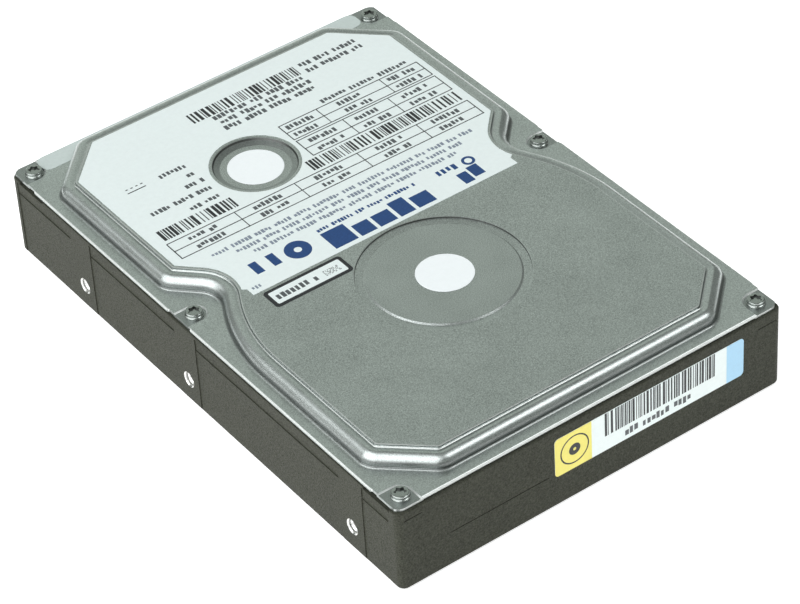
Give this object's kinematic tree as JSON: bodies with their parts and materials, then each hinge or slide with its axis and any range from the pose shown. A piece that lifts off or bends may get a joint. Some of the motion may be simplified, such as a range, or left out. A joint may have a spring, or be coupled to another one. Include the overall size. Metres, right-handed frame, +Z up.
{
  "type": "hard disk drive",
  "caption": "Sealed one-inch-high disk drive with a black cast base, stamped cover, labels, platters, swinging heads, controller board and rear sockets.",
  "frame": {"origin": "centre of the underside's bounding rectangle, on the surface the drive rests on", "axes": "+X across the width, +Y to the connector end, +Z up through the label"},
  "size_m": [0.1016, 0.1468, 0.0254],
  "materials": {
    "black_casting": "black cathodic coat on die-cast aluminium, satin",
    "gasket_rubber": "matte",
    "cover_sheet": "satin grey stamped sheet",
    "screw_steel": "bright plated",
    "label_paper": "printed film, satin",
    "tape": "foil tape",
    "bright_steel": "ground",
    "platter_mirror": "polished",
    "machined_aluminium": "machined",
    "copper_winding": "varnished copper wire on steel",
    "nickel_plate": "nickel plated",
    "filter_cloth": "woven",
    "black_plastic": "moulded",
    "white_plastic": "moulded nylon",
    "polyimide": "amber film",
    "board_green": "solder mask",
    "pin_metal": "plated pins"
  },
  "bodies": {
    "base": {"base_casting": "black_casting", "cover_gasket": "gasket_rubber", "spindle_shaft": "bright_steel", "motor_stator": "copper_winding", "pivot_shaft": "bright_steel", "magnet_plate_lower": "nickel_plate", "magnet_plate_upper": "nickel_plate", "magnet_lower": "nickel_plate", "magnet_upper": "nickel_plate", "crash_stop": "gasket_rubber", "recirculation_filter": "filter_cloth", "flex_bracket": "black_plastic", "flex_cable": "polyimide", "controller_board": "board_green", "insulator_sheet": "black_plastic", "ide_connector": "black_plastic", "ide_pins": "pin_metal", "power_connector": "white_plastic", "power_pins": "pin_metal", "jumper_header": "black_plastic", "jumper_pins": "pin_metal", "controller_chip": "black_plastic", "channel_chip": "black_plastic", "motor_driver_chip": "black_plastic", "board_screw_1": "screw_steel", "board_screw_2": "screw_steel", "board_screw_3": "screw_steel", "board_screw_4": "screw_steel", "end_label": "label_paper"},
    "cover": {"top_cover": "cover_sheet", "cover_screw_1": "screw_steel", "cover_screw_2": "screw_steel", "cover_screw_3": "screw_steel", "cover_screw_4": "screw_steel", "cover_screw_5": "screw_steel", "cover_screw_6": "screw_steel", "top_label": "label_paper", "serial_label": "label_paper", "spindle_seal": "label_paper", "pivot_seal": "label_paper", "edge_tape": "tape"},
    "disk_stack": {"spindle_hub": "machined_aluminium", "platter_1": "platter_mirror", "platter_2": "platter_mirror", "platter_3": "platter_mirror", "platter_4": "platter_mirror", "disk_spacer_1": "machined_aluminium", "disk_spacer_2": "machined_aluminium", "disk_spacer_3": "machined_aluminium", "disk_clamp": "machined_aluminium"},
    "actuator": {"arm_block": "machined_aluminium", "voice_coil": "copper_winding", "pivot_bearing": "bright_steel", "head_suspension_1": "bright_steel", "head_suspension_2": "bright_steel", "head_suspension_3": "bright_steel", "head_suspension_4": "bright_steel", "head_suspension_5": "bright_steel"},
    "latch": {"actuator_latch": "black_plastic"},
    "jumper": {"jumper_shunt": "black_plastic"}
  },
  "joints": [
    {"name": "spindle_spin", "type": "hinge", "parent": "base", "child": "disk_stack", "pos_m": [0, -0.0218, 0.0155], "axis": [0, 0, 1], "continuous": true},
    {"name": "actuator_swing", "type": "hinge", "parent": "base", "child": "actuator", "pos_m": [-0.009, 0.0359, 0.0155], "axis": [0, 0, 1], "range_deg": [0, 31]},
    {"name": "latch_open", "type": "hinge", "parent": "base", "child": "latch", "pos_m": [-0.0036, 0.0654, 0.0153], "axis": [0, 0, 1], "range_deg": [-12, 0]},
    {"name": "cover_lift", "type": "slide", "parent": "base", "child": "cover", "axis": [0, 0, 1], "range_m": [0, 0.08]},
    {"name": "jumper_pull", "type": "slide", "parent": "base", "child": "jumper", "axis": [0, 1, 0], "range_m": [0, 0.008]}
  ]
}
